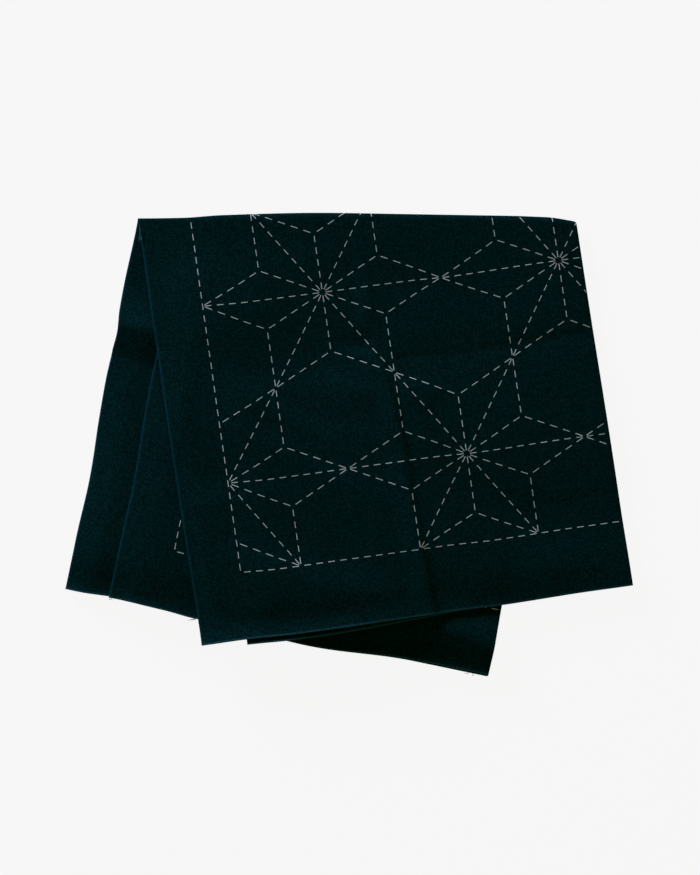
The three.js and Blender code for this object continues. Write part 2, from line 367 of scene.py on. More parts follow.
def unevenness(x, y):
    """The same for every layer at a place: a sum of sine waves, on a base that keeps it off the
    floor."""
    rng = np.random.default_rng(SEED)
    total = np.full(np.shape(x), UNEVEN_BASE)
    for _ in range(UNEVEN_WAVES):
        length = rng.uniform(*UNEVEN_LENGTHS)
        angle, phase = rng.uniform(0, 2 * math.pi, 2)
        along = (x * math.cos(angle) + y * math.sin(angle)) / length
        total += UNEVEN_HEIGHT * np.sin(2 * math.pi * along + phase) * length / UNEVEN_LENGTHS[1]
    return total


def past_short_side(u, distance):
    """0 where the short layer lies under a sheet, 1 well past its side, and 0 at the second fold."""
    return ease((SHORT_SIDE_AT - u) / SHORT_SIDE_DROOP) * ease(distance / SECOND_FOLD_REACH)


def rest_height(x, y, to_end):
    """Height of the front half's lowest sheet: the back half's lift, inner gap and rolls, and one
    pitch more, eased down to the surface past the back half's side and end."""
    p, distance = plan_share("back", x, y)
    _, _, length = plan_column("back", np.clip(p, 0.0, 1.0))
    u = np.minimum(p * STRIP_WIDTH, JOINT_START)
    inner = 2 * half_spacing(u, length - distance) * (1 - past_short_side(u, distance))
    spring = (2 * SECOND_FOLD_RADIUS - PITCH) * (1 - ease(distance / SECOND_FOLD_REACH))
    inside = np.minimum(distance, length)
    near_end = ease(1 - to_end / NEAR_END["reach"]) * ease((p - NEAR_END["start"]) / NEAR_END["over"])
    lift = mix(back_lift(p, inside, length), back_lift(p, inside, length, True), 1 - near_end)
    pitch = mix(CLOSE, PITCH, ease((to_end + PAST_END) / EDGE_CLOSE))
    above = lift + inner + pitch + spring + back_rolls(u, distance, True)
    side = ease(1 - (p - 1) * STRIP_WIDTH / SIDE_DROOP)
    end = ease(1 - (distance - length - BACK_END_STEP["free"]) / END_DROOP)
    return HALF_SHEET + above * side * end


def crease(u, t, line, height, left, right, taper):
    """A soft trough or ridge along a line of places: its height eased off with the distance to the
    nearest stretch, by one flank's width on each side, and eased in and out over the taper."""
    line = np.asarray(line, float)
    away = np.full(np.shape(u), math.inf)
    along = np.zeros(np.shape(u))
    run = 0.0
    for a, b in zip(line[:-1], line[1:]):
        length = np.hypot(*(b - a))
        way = (b - a) / length
        du, dt = u - a[0], t - a[1]
        q = np.clip(du * way[0] + dt * way[1], 0.0, length)
        side = way[0] * dt - way[1] * du
        gap = np.hypot(du - q * way[0], dt - q * way[1])
        nearer = gap < np.abs(away)
        away = np.where(nearer, np.where(side > 0, -gap, gap), away)
        along = np.where(nearer, run + q, along)
        run += length
    start, end = taper if isinstance(taper, tuple) else (taper, taper)
    return height * bump(away, left, right) * ease(along / start) * ease((run - along) / end)


def front_lift(p, distance, length):
    """Height that the front half adds: its loft between the fold and the end, its creases, and its
    end's curl, which grows with the square of the way into the last stretch."""
    u = np.clip(p, 0.0, 1.0) * STRIP_WIDTH
    t = length - distance
    loft = ease(distance / LOFT_REACH) * ease((t + PAST_END) / END_REACH) * FRONT_LOFT
    creases = sum(crease(u, t, **row) for row in FRONT_CREASES.values())
    curl = FRONT_CURL["height"] * np.clip(1 - t / FRONT_CURL["over"], 0, FRONT_CURL["most"]) ** 2
    curl = curl * ease((FRONT_CURL["gone"] - p) / (FRONT_CURL["gone"] - FRONT_CURL["full"]))
    return loft + ease(distance / SECOND_FOLD_REACH) * creases + curl


# The folded cloth

def fold_half(half, side, share, u, w):
    """Places on a half, at a share of the way from the second fold to the layer's own end. In plan it
    is a straight column, moved along the fold by the turn's lean, less towards the end. Its height is
    the strip's layer at w on what carries it, with the half's lift, rolled sides and unevenness."""
    p = u / STRIP_WIDTH
    spacing = half_spacing(u)
    quarter_turn = math.pi / 2 * (SECOND_FOLD_RADIUS + spacing + w)
    _, _, length = plan_column(half, p)
    distance = np.maximum(share, 0.0) * (length + end_step(half, p, w, spacing))
    plan = plan_point(half, p, distance)
    plan = plan + FOLD_LINE * (side * quarter_turn * FOLD_LEAN * (1 - distance / length))[..., None]
    x, y = plan[..., 0], plan[..., 1]
    to_end = length - distance
    close = half_spacing(u, to_end) / spacing
    if half == "back":
        height = HALF_SHEET + (spacing - w) * close + back_lift(p, distance, length)
        height = height + back_rolls(u, distance, w < 0)
    else:
        alone = np.where(w > 0, CLOSE * past_short_side(u, distance), 0.0)
        height = rest_height(x, y, to_end) + (spacing + w) * close - alone
        height = height + front_lift(p, distance, length) + front_rolls(u, distance, w > 0)
    height = height + unevenness(x, y) * ease(distance / SECOND_FOLD_REACH)
    return np.concatenate([plan, height[..., None]], axis=-1)


def fold_twice(s, v):
    """The whole fold: the strip at u, w, then half a turn round the second fold's axis for v from 1
    to 2, leaning along the fold, and a half on either side of it. Returns places in mm."""
    s, v = np.broadcast_arrays(np.asarray(s, float), np.asarray(v, float))
    u, w = fold_once(s)
    spacing = half_spacing(u)
    radius = SECOND_FOLD_RADIUS + spacing + w
    angle = (1.5 - np.clip(v, 1.0, 2.0)) * math.pi
    line = fold_point(u / STRIP_WIDTH) + FOLD_LINE * (angle * radius * FOLD_LEAN)[..., None]
    line = line + FOLD_OUT * (radius * np.cos(angle))[..., None]
    axis_height = HALF_SHEET + SECOND_FOLD_RADIUS + 2 * spacing
    place = np.concatenate([line, (axis_height + radius * np.sin(angle))[..., None]], axis=-1)
    for half, side, share in (("front", 1, 1 - v), ("back", -1, v - 2)):
        here = fold_half(half, side, share, u, w)
        place = np.where((share > 0)[..., None], here, place)
    return place


def face_direction(s, v):
    """Unit normal of the printed face: the cross product of central differences along s and v."""
    ds, dv = SLOPE_STEPS
    across = fold_twice(s + ds, v) - fold_twice(s - ds, v)
    along = fold_twice(s, v + dv) - fold_twice(s, v - dv)
    return unit(np.cross(across, along))


def column_lengths(s):
    """Lengths along the cloth at s: front half, second fold, back half."""
    u, w = fold_once(s)
    p = u / STRIP_WIDTH
    spacing = half_spacing(u)
    front = plan_column("front", p)[2] + end_step("front", p, w, spacing)
    back = plan_column("back", p)[2] + end_step("back", p, w, spacing)
    return front, math.pi * (SECOND_FOLD_RADIUS + spacing + w), back


def row_of(s, t):
    """The row number v at t millimetres from the front end: each half and the fold run evenly."""
    front, turn, back = column_lengths(s)
    v = np.where(t < front, t / front, 1 + (t - front) / turn)
    return np.where(t > front + turn, 2 + (t - front - turn) / back, v)


def length_at(s, v):
    """The reverse of row_of."""
    front, turn, back = column_lengths(s)
    return front * np.clip(v, 0, 1) + turn * np.clip(v - 1, 0, 1) + back * np.clip(v - 2, 0, 1)


# Meshes

def make_object(name, places, faces, smooth=True):
    """A mesh object from places in mm and faces given as rows of vertex numbers."""
    mesh = bpy.data.meshes.new(name)
    mesh.from_pydata((places * MM).tolist(), [], faces.tolist())
    mesh.polygons.foreach_set("use_smooth", np.full(len(faces), smooth))
    mesh.update()
    obj = bpy.data.objects.new(name, mesh)
    bpy.context.scene.collection.objects.link(obj)
    return obj


def write_uv(obj, s, t):
    """The UV map Cloth: each vertex's place on the flat cloth, in metres."""
    mesh = obj.data
    corner = np.empty(len(mesh.loops), np.int32)
    mesh.loops.foreach_get("vertex_index", corner)
    uv = np.stack([s.ravel(), t.ravel()], axis=-1) * MM
    layer = mesh.uv_layers.new(name="Cloth")
    layer.uv.foreach_set("vector", uv[corner].astype(np.float32).ravel())


def write_value(obj, name, values):
    """An attribute from one number for each vertex."""
    attribute = obj.data.attributes.new(name, "FLOAT", "POINT")
    attribute.data.foreach_set("value", np.asarray(values, np.float32).ravel())


def stations(stretches):
    """Numbers from stretches of (start, end, steps), each joined to the one before."""
    parts = [np.linspace(a, b, n + 1)[1:] for a, b, n in stretches]
    return np.concatenate([[stretches[0][0]], *parts])


def strip_quads(top, bottom):
    """Quads between two lines of vertex numbers."""
    return np.stack([bottom[:-1], bottom[1:], top[1:], top[:-1]], axis=1)


def sheet_quads(rows, columns):
    """Quads of a closed sheet: a grid, the same grid turned over and numbered after it, and a strip
    along each of the four edges."""
    under = rows * columns
    number = np.arange(under).reshape(rows, columns)
    a = number[:-1, :-1].ravel()
    quads = np.stack([a, a + 1, a + 1 + columns, a + columns], axis=1)
    return np.concatenate([
        quads,
        under + quads[:, ::-1],
        strip_quads(number[0], number[0] + under),
        strip_quads(number[-1] + under, number[-1]),
        strip_quads(number[:, 0] + under, number[:, 0]),
        strip_quads(number[:, -1], number[:, -1] + under),
    ])


# The cloth's grid: columns over s and rows over v, finer beside the edges, creases and folds. Its edge
# thins by half over EDGE_ROUND, with a row of quads for it.
EDGE_ROUND = 0.3
EDGE_ROW = 0.0017
EDGE_THIN = 0.5
CLOTH_COLUMNS = [
    (0, EDGE_ROUND, 1), (EDGE_ROUND, 6, 10), (6, SHORT_SIDE_AT + 3, 7), (SHORT_SIDE_AT + 3, 84, 24),
    (84, 100, 18), (100, JOINT_START, 30), (JOINT_START, JOINT_END, 14),
    (JOINT_END, CLOTH_ACROSS - 12, 36), (CLOTH_ACROSS - 12, CLOTH_ACROSS - EDGE_ROUND, 10),
    (CLOTH_ACROSS - EDGE_ROUND, CLOTH_ACROSS, 1),
]
CLOTH_ROWS = [
    (0, EDGE_ROW, 1), (EDGE_ROW, 0.04, 9), (0.04, 1, 130), (1, 2, 22), (2, 2.94, 118),
    (2.94, 3 - EDGE_ROW, 11), (3 - EDGE_ROW, 3, 1),
]


def build_cloth():
    """The cloth: a grid over s and v, moved half a sheet up and down along the face direction, with
    its four edges joined. Beside them it thins with the square of the way, to a rounded edge."""
    s, v = np.meshgrid(stations(CLOTH_COLUMNS), stations(CLOTH_ROWS))
    middle = fold_twice(s, v)
    t = length_at(s, v)
    side_gap = np.minimum(s, CLOTH_ACROSS - s)
    end_gap = np.minimum(t, sum(column_lengths(s)) - t)
    into_edge = 1 - np.clip(np.minimum(side_gap, end_gap) / EDGE_ROUND, 0, 1)
    half_sheet = HALF_SHEET * (1 - EDGE_THIN * into_edge ** 2)
    offset = face_direction(s, v) * half_sheet[..., None]
    places = np.concatenate([(middle + offset).reshape(-1, 3), (middle - offset).reshape(-1, 3)])
    cloth = make_object("sampler_cloth", places, sheet_quads(*s.shape))
    write_uv(cloth, np.stack([s, s]), np.stack([t, t]))
    write_value(cloth, "side_gap", np.tile(side_gap.ravel() * MM, 2))
    write_value(cloth, "end_gap", np.tile(end_gap.ravel() * MM, 2))
    return cloth


# The printed guide: a hemp-leaf lattice in units of 25 mm, with rows of stars, laid out in dashes
GUIDE_UNIT = 25.0
GUIDE_UNITS = 12
STAR_PITCH = 4
STAR_ROW = 3.0
DASH_PERIOD = 5.0
DASH_FROM, DASH_TO = 0.27, 0.83
DASH_WIDTH = 0.34
INK_PROUD = 0.05
INK_SUNK = 0.12
SLACK = 0.01

# Cross lines of a dash: where it lies, as a share of the length and then in half widths, and its width
DASH_LINES = np.array([(0, 0, 0.4), (0, 0.35, 0.8), (0, 1, 1), (0.3, 0, 1), (0.5, 0, 1), (0.7, 0, 1),
                       (1, -1, 1), (1, -0.35, 0.8), (1, 0, 0.4)])

# Where the lattice lies on the cloth: margins at the front's free side and end, and past the folds
GUIDE_SIDE = 20.9
GUIDE_SIDE_SKEW = 0.141
GUIDE_ACROSS = 25.005
GUIDE_ALONG = 24.965
GUIDE_FRONT_MARGIN = (27.99, 27.36)
GUIDE_BACK_MARGIN = (24.3, 27.9)
GUIDE_SHORT_SIDE = 23.2


def star_lines():
    """Lines of one hemp-leaf star about its centre: spokes to the six tips and to the six inner
    corners, and the sides from each inner corner to the tips beside it."""
    tips = [(2, 0), (1, 1.5), (-1, 1.5), (-2, 0), (-1, -1.5), (1, -1.5)]
    inner = [(1, 0.5), (0, 1), (-1, 0.5), (-1, -0.5), (0, -1), (1, -0.5)]
    lines = [((0, 0), place) for place in tips + inner]
    for i, corner in enumerate(inner):
        lines.append((corner, tips[i]))
        lines.append((corner, tips[(i + 1) % 6]))
    return np.array(lines, float)


def guide_lines():
    """Every line of the guide in lattice units: rows of stars, every other row moved by half a star,
    cut off at the border, and the border itself."""
    lines = []
    for row, y in enumerate(np.arange(STAR_ROW / 2, GUIDE_UNITS, STAR_ROW)):
        for x in np.arange(STAR_PITCH / 2 * (row % 2), GUIDE_UNITS + 1, STAR_PITCH):
            lines.append(star_lines() + np.array([x, y]))
    lines = np.concatenate(lines)
    middle = lines.mean(axis=1)
    inside = (middle[:, 0] > SLACK) & (middle[:, 0] < GUIDE_UNITS - SLACK)
    n = GUIDE_UNITS
    border = np.array([[(0, 0), (n, 0)], [(n, 0), (n, n)], [(n, n), (0, n)], [(0, n), (0, 0)]], float)
    return np.concatenate([lines[inside], border])


def guide_dashes():
    """Both ends of every dash in lattice units: each line holds a whole number of periods."""
    starts, ends = [], []
    for a, b in guide_lines():
        count = int(np.hypot(*(b - a)) * GUIDE_UNIT / DASH_PERIOD + SLACK)
        k = np.arange(count)[:, None]
        starts.append(mix(a, b, (k + DASH_FROM) / count))
        ends.append(mix(a, b, (k + DASH_TO) / count))
    return np.concatenate(starts), np.concatenate(ends)


def guide_to_cloth(x, y):
    """Lattice place to cloth place: even steps on the front layers, and what is left of the print
    fitted evenly between each fold and its far margin."""
    s = GUIDE_SIDE + GUIDE_SIDE_SKEW * y + GUIDE_ACROSS * x
    fold_x = (FIRST_FOLD_AT - GUIDE_SIDE - GUIDE_SIDE_SKEW * y) / GUIDE_ACROSS
    last = CLOTH_ACROSS - GUIDE_SHORT_SIDE
    past = FIRST_FOLD_AT + (x - fold_x) * (last - FIRST_FOLD_AT) / (GUIDE_UNITS - fold_x)
    s = np.where(x > fold_x, past, s)
    u, _ = fold_once(s)
    p = u / STRIP_WIDTH
    front, turn, back = column_lengths(s)
    margin = mix(*GUIDE_FRONT_MARGIN, p)
    fold_y = (front - margin) / GUIDE_ALONG
    t = margin + GUIDE_ALONG * y
    last = front + turn + back - mix(*GUIDE_BACK_MARGIN, p)
    past = front + (y - fold_y) * (last - front) / (GUIDE_UNITS - fold_y)
    return s, np.where(y > fold_y, past, t)


def dash_quads(steps):
    """Quads of one closed dash: its upper face, lower face, two sides and two ends. Points run in
    pairs along the upper face, and then along the lower one."""
    each = steps * 2
    right = np.arange(steps) * 2
    left = right + 1
    return np.concatenate([
        strip_quads(left, right),
        strip_quads(right + each, left + each),
        strip_quads(right, right + each),
        strip_quads(left + each, left),
        [[0, 1, 1 + each, each]],
        [[each - 1, each - 2, 2 * each - 2, 2 * each - 1]],
    ])


def build_guide():
    """All dashes as one mesh: each is a flat capsule of two rows of points along it, its ends
    narrowed, with an upper face just proud of the cloth and a lower one sunk in it."""
    a, b = guide_dashes()
    length = np.linalg.norm(b - a, axis=1)[:, None] * GUIDE_UNIT
    share = (length * DASH_LINES[:, 0] + DASH_LINES[:, 1] * (DASH_WIDTH / 2)) / length
    middle = mix(a[:, None, :], b[:, None, :], share[..., None])
    way = unit(b - a)
    width = DASH_LINES[:, 2] * DASH_WIDTH / 2 / GUIDE_UNIT
    across = np.stack([-way[:, 1], way[:, 0]], axis=1)[:, None, :] * width[None, :, None]
    flat = np.stack([middle - across, middle + across], axis=2)
    s, t = guide_to_cloth(flat[..., 0], flat[..., 1])
    v = row_of(s, t)
    centre = fold_twice(s, v)
    normal = face_direction(s, v)
    top = centre + normal * (HALF_SHEET + INK_PROUD)
    bottom = centre + normal * (HALF_SHEET - INK_SUNK)
    places = np.stack([top, bottom], axis=1)
    count, steps = s.shape[:2]
    faces = dash_quads(steps) + (np.arange(count) * steps * 4)[:, None, None]
    guide = make_object("printed_guide", places.reshape(-1, 3), faces.reshape(-1, 4), smooth=False)
    write_uv(guide, np.stack([s, s], axis=1), np.stack([t, t], axis=1))
    return guide


# Loose threads: each hangs on the cloth at s and v, and its places are offsets in mm from there
LOOSE_THREADS = [
    dict(s=0.1, v=0.949, path=[
        (0.2, -0.5, 0.1), (-0.6, 0.3, 0.5), (-1.2, 1.3, 0.6), (-1.0, 2.6, 0.7), (-0.3, 2.7, 0.8),
        (0.1, 1.6, 0.7), (-0.5, 1.1, 0.8), (-0.9, 3.2, 0.8), (-0.7, 5.2, 0.7), (-0.8, 7.4, 0.5)]),
    dict(s=0.1, v=0.062, path=[
        (0.3, 0.4, -0.5), (-0.8, 0.1, -0.6), (-1.8, -0.1, -0.7), (-3.2, -0.5, -0.9), (-4.4, -0.6, -1.0)]),
    dict(s=0.1, v=0.064, path=[
        (0.3, 0.2, -0.5), (-1.2, -0.6, -0.6), (-2.6, -0.9, -0.8), (-3.6, -0.9, -1.0)]),
    dict(s=174.0, v=2.999, path=[
        (0.0, 0.5, 0.0), (-0.7, -0.5, 0.1), (-1.5, -0.5, 0.0), (-2.2, -0.2, 0.0)]),
    dict(s=175.5, v=2.999, path=[
        (0.1, 0.5, 0.0), (0.0, -0.5, 0.1), (-0.5, -1.0, 0.0), (0.3, -1.2, 0.0)]),
    dict(s=344.8, v=2.999, path=[
        (0.5, 0.6, 0.0), (-0.1, -0.2, 0.0), (-0.1, -0.9, 0.0), (0.7, -0.9, 0.0)]),
    dict(s=344.0, v=2.999, path=[
        (0.1, 0.4, 0.0), (0.1, -0.6, 0.1), (0.6, -1.1, 0.0)]),
]
THREAD_THICK = 0.17
THREAD_THIN_ENDS = dict(by=0.6, power=6)
THREAD_SIDES = 6
THREAD_CAP = np.array([[0, 3, 2, 1], [0, 5, 4, 3]])
CORNER_CUTS = 3


def cut_corners(path):
    """A smoother path: every stretch is cut at one and three quarters, over and over, ends kept."""
    path = np.asarray(path, float)
    for _ in range(CORNER_CUTS):
        early, late = mix(path[:-1], path[1:], 0.25), mix(path[:-1], path[1:], 0.75)
        path = np.concatenate([path[:1], np.stack([early, late], axis=1).reshape(-1, 3), path[-1:]])
    return path


def thread_tube(path):
    """A closed tube along a path: rings of points at right angles to it, their radius thinner towards
    the ends by a high power of the way there, and two quads over each end."""
    way = unit(np.gradient(path, axis=0))
    side = unit(np.cross(way, (0.0, 0.0, 1.0)))
    other = np.cross(way, side)
    steps = len(path)
    thin = THREAD_THIN_ENDS["by"] * np.linspace(-1, 1, steps) ** THREAD_THIN_ENDS["power"]
    radius = THREAD_THICK / 2 * (1 - thin)
    around = np.arange(THREAD_SIDES) * 2 * math.pi / THREAD_SIDES
    ring = side[:, None] * np.cos(around)[:, None] + other[:, None] * np.sin(around)[:, None]
    places = path[:, None] + ring * radius[:, None, None]
    number = np.arange(steps * THREAD_SIDES).reshape(steps, THREAD_SIDES)
    after = np.roll(number, -1, axis=1)
    walls = np.stack([number[:-1], after[:-1], after[1:], number[1:]], axis=-1).reshape(-1, 4)
    last_cap = number[-1, 0] + np.roll(THREAD_CAP[:, ::-1], 1, axis=1)
    return places.reshape(-1, 3), np.concatenate([walls, THREAD_CAP, last_cap])


def build_threads():
    """All loose threads as one mesh of closed tubes."""
    places, faces, count = [], [], 0
    for row in LOOSE_THREADS:
        tube, quads = thread_tube(fold_twice(row["s"], row["v"]) + cut_corners(row["path"]))
        places.append(tube)
        faces.append(count + quads)
        count += len(tube)
    return make_object("loose_threads", np.concatenate(places), np.concatenate(faces))


# Nodes

def new_material(name, roughness, specular):
    """A material with one Principled shader, its uniform numbers set."""
    material = bpy.data.materials.new(name)
    material.use_nodes = True
    nodes, links = material.node_tree.nodes, material.node_tree.links
    nodes.clear()
    out = nodes.new("ShaderNodeOutputMaterial")
    shader = nodes.new("ShaderNodeBsdfPrincipled")
    shader.inputs["Roughness"].default_value = roughness
    shader.inputs["Specular IOR Level"].default_value = specular
    links.new(shader.outputs["BSDF"], out.inputs["Surface"])
    return material, nodes, links, shader


def new_group(name, inputs, outputs):
    """A node group with named sockets: Place is a vector, and every other one a number."""
    group = bpy.data.node_groups.new(name, "ShaderNodeTree")
    for in_out, names in (("INPUT", inputs), ("OUTPUT", outputs)):
        for socket in names:
            kind = "NodeSocketVector" if socket == "Place" else "NodeSocketFloat"
            group.interface.new_socket(socket, in_out=in_out, socket_type=kind)
    start, end = group.nodes.new("NodeGroupInput"), group.nodes.new("NodeGroupOutput")
    return group, group.nodes, group.links, start, end


def node(nodes, kind, **values):
    """A new node with its own settings."""
    made = nodes.new(kind)
    for key, value in values.items():
        setattr(made, key, value)
    return made


def math_node(nodes, links, operation, *values):
    """A math node, each value a number or an output to link."""
    made = node(nodes, "ShaderNodeMath", operation=operation)
    for socket, value in zip(made.inputs, values):
        if isinstance(value, (int, float)):
            socket.default_value = value
        else:
            links.new(value, socket)
    return made.outputs[0]


def noise_node(nodes, links, place, scale, detail, dimensions="3D"):
    """A noise texture read at a place."""
    made = node(nodes, "ShaderNodeTexNoise", noise_dimensions=dimensions)
    made.inputs["Scale"].default_value = scale
    made.inputs["Detail"].default_value = detail
    links.new(place, made.inputs["Vector"])
    return made


def add_group(nodes, links, group, place, **values):
    """A node group read at a place, its other inputs set by name, with _ for a space."""
    made = nodes.new("ShaderNodeGroup")
    made.node_tree = group
    links.new(place, made.inputs["Place"])
    for key, value in values.items():
        made.inputs[key.replace("_", " ")].default_value = value
    return made


def colour_mix(nodes, links, share, a, b):
    """A colour between a and b, each a colour or an output to link. Sockets 6 and 7 take them."""
    made = node(nodes, "ShaderNodeMix", data_type="RGBA")
    links.new(share, made.inputs[0])
    for socket, value in ((made.inputs[6], a), (made.inputs[7], b)):
        if isinstance(value, tuple):
            socket.default_value = value
        else:
            links.new(value, socket)
    return made.outputs[2]


def add_bump(nodes, links, shader, height, strength, distance):
    """Fine relief for a shader, from a height that changes over the surface."""
    made = nodes.new("ShaderNodeBump")
    made.inputs["Strength"].default_value = strength
    made.inputs["Distance"].default_value = distance
    links.new(height, made.inputs["Height"])
    links.new(made.outputs["Normal"], shader.inputs["Normal"])


# Effects that materials share. WEAVE_DIP is the share of its height by which a thread dips.
WEAVE_DIP = 0.38
WANDER_SCALE = 260.0
STREAK_ACROSS, STREAK_ALONG = 1600.0, 60.0
EDGE_NOISE_SCALE = 1400.0
EDGE_NOISE = 1.2
EDGE_FALL = (0.5, 1.5)


def plain_weave_group():
    """Plain weave. Each thread is a rounded ridge, the sine of its place across, and rises and dips
    with the product of both sines, so the threads pass over and under in turn. Height is the higher
    of the two threads, Tone varies from thread to thread, and Crossing from crossing to crossing."""
    group, nodes, links, start, end = new_group(
        "Plain weave", ("Place", "Threads per metre", "Wander"), ("Height", "Tone", "Crossing"))

    def calc(operation, *values):
        return math_node(nodes, links, operation, *values)

    drift = noise_node(nodes, links, start.outputs["Place"], WANDER_SCALE, 1)
    centred = node(nodes, "ShaderNodeVectorMath", operation="SUBTRACT")
    links.new(drift.outputs["Color"], centred.inputs[0])
    centred.inputs[1].default_value = (0.5, 0.5, 0.5)
    moved = node(nodes, "ShaderNodeVectorMath", operation="SCALE")
    links.new(centred.outputs[0], moved.inputs[0])
    links.new(start.outputs["Wander"], moved.inputs["Scale"])
    place = node(nodes, "ShaderNodeVectorMath", operation="ADD")
    links.new(start.outputs["Place"], place.inputs[0])
    links.new(moved.outputs[0], place.inputs[1])

    split = nodes.new("ShaderNodeSeparateXYZ")
    links.new(place.outputs[0], split.inputs[0])
    turns = calc("MULTIPLY", start.outputs["Threads per metre"], math.pi)
    warp = calc("SINE", calc("MULTIPLY", split.outputs["X"], turns))
    weft = calc("SINE", calc("MULTIPLY", split.outputs["Y"], turns))
    over = calc("MULTIPLY", warp, weft)
    warp_share = calc("MULTIPLY_ADD", over, WEAVE_DIP, 1 - WEAVE_DIP)
    weft_share = calc("MULTIPLY_ADD", over, -WEAVE_DIP, 1 - WEAVE_DIP)
    warp_high = calc("MULTIPLY", calc("ABSOLUTE", warp), warp_share)
    weft_high = calc("MULTIPLY", calc("ABSOLUTE", weft), weft_share)
    links.new(calc("MAXIMUM", warp_high, weft_high), end.inputs["Height"])

    cell = node(nodes, "ShaderNodeVectorMath", operation="SCALE")
    links.new(place.outputs[0], cell.inputs[0])
    links.new(start.outputs["Threads per metre"], cell.inputs["Scale"])
    whole = node(nodes, "ShaderNodeVectorMath", operation="FLOOR")
    links.new(cell.outputs[0], whole.inputs[0])
    crossing = node(nodes, "ShaderNodeTexWhiteNoise", noise_dimensions="2D")
    links.new(whole.outputs[0], crossing.inputs["Vector"])
    links.new(crossing.outputs["Value"], end.inputs["Crossing"])

    tones = []
    for stretch in ((STREAK_ACROSS, STREAK_ALONG, 0), (STREAK_ALONG, STREAK_ACROSS, 0)):
        long = node(nodes, "ShaderNodeVectorMath", operation="MULTIPLY")
        links.new(place.outputs[0], long.inputs[0])
        long.inputs[1].default_value = stretch
        streak = noise_node(nodes, links, long.outputs[0], 1, 2, dimensions="2D")
        tones.append(streak.outputs["Fac"])
    links.new(calc("MULTIPLY", calc("ADD", *tones), 0.5), end.inputs["Tone"])
    return group


def frayed_edge_highlight_group():
    """Frayed edge with painted highlight: Mask is 1 at a free edge and falls to 0 by a smooth step over
    about its Width, where the cloth is paler from frayed yarn and from painted light scattered through
    the fuzz. Fine noise, added to the Distance first, breaks it up."""
    group, nodes, links, start, end = new_group("Frayed edge with painted highlight", ("Place", "Distance", "Width"), ("Mask",))
    noise = noise_node(nodes, links, start.outputs["Place"], EDGE_NOISE_SCALE, 2)
    share = math_node(nodes, links, "DIVIDE", start.outputs["Distance"], start.outputs["Width"])
    ragged = math_node(nodes, links, "MULTIPLY_ADD", noise.outputs["Fac"], EDGE_NOISE, share)
    fall = node(nodes, "ShaderNodeMapRange", interpolation_type="SMOOTHSTEP")
    for name, value in zip(("From Min", "From Max", "To Min", "To Max"), (*EDGE_FALL, 1.0, 0.0)):
        fall.inputs[name].default_value = value
    links.new(ragged, fall.inputs["Value"])
    links.new(fall.outputs["Result"], end.inputs["Mask"])
    return group


# Materials: colours, then weights of the weave's parts in a tone between two colours
CLOTH_DARK = (0.00012, 0.0022, 0.0023, 1)
CLOTH_LIGHT = (0.0010, 0.0100, 0.0108, 1)
# Pale cut ends and woven sides: paler frayed yarn, with a painted highlight of light scattered through
# the fuzz
END_PALE_AND_HIGHLIGHT = (0.006, 0.029, 0.038, 1)
SIDE_PALE_AND_HIGHLIGHT = (0.0014, 0.0145, 0.019, 1)
INK_THIN = (0.06, 0.075, 0.08, 1)
INK_PALE = (0.225, 0.262, 0.27, 1)
THREAD_DARK = (0.008, 0.024, 0.03, 1)
THREAD_PALE = (0.06, 0.12, 0.14, 1)
# The height weight paints shade: thread tops paler, the dips between threads darker. The thread and
# crossing weights are random tone.
CLOTH_TONE_AND_SHADE = dict(base=-0.41, height=0.5, thread=0.4, crossing=0.8)
INK_TONE = dict(base=-0.35, height=0.9)
# Widths of the pale edges: frayed yarn with a painted highlight
SIDE_FRAY_HIGHLIGHT = 0.0014
END_FRAY_HIGHLIGHT = 0.0012
WEAVE = dict(Threads_per_metre=2100.0, Wander=0.00018)
FINE_GRAIN = 900.0
FLOOR_TONE = 0.02
FLOOR_GLOW = 0.905


def cloth_material(weave, fray_highlight):
    """Dark cotton: two near-black greens mixed thread by thread, with painted shade that darkens the dips
    between threads, and paler at the cut ends and a little at the woven sides, from frayed yarn and a
    painted highlight of light through the fuzz, with the weave as bump."""
    material, nodes, links, shader = new_material("Indigo cotton", roughness=0.9, specular=0.0)
    uv = node(nodes, "ShaderNodeUVMap", uv_map="Cloth")
    threads = add_group(nodes, links, weave, uv.outputs[0], **WEAVE)
    tone = CLOTH_TONE_AND_SHADE["base"]
    # The Height weight is painted shade, paler on thread tops and darker in the dips
    for output, weight in (("Height", "height"), ("Tone", "thread"), ("Crossing", "crossing")):
        tone = math_node(nodes, links, "MULTIPLY_ADD", threads.outputs[output], CLOTH_TONE_AND_SHADE[weight], tone)
    colour = colour_mix(nodes, links, tone, CLOTH_DARK, CLOTH_LIGHT)
    # Pale edges: frayed yarn and a painted highlight of light through the fuzz
    for name, width, pale in (("side_gap", SIDE_FRAY_HIGHLIGHT, SIDE_PALE_AND_HIGHLIGHT), ("end_gap", END_FRAY_HIGHLIGHT, END_PALE_AND_HIGHLIGHT)):
        gap = node(nodes, "ShaderNodeAttribute", attribute_name=name)
        edge = add_group(nodes, links, fray_highlight, uv.outputs[0], Width=width)
        links.new(gap.outputs["Fac"], edge.inputs["Distance"])
        colour = colour_mix(nodes, links, edge.outputs["Mask"], colour, pale)
    links.new(colour, shader.inputs["Base Color"])
    add_bump(nodes, links, shader, threads.outputs["Height"], strength=0.5, distance=0.00012)
    return material


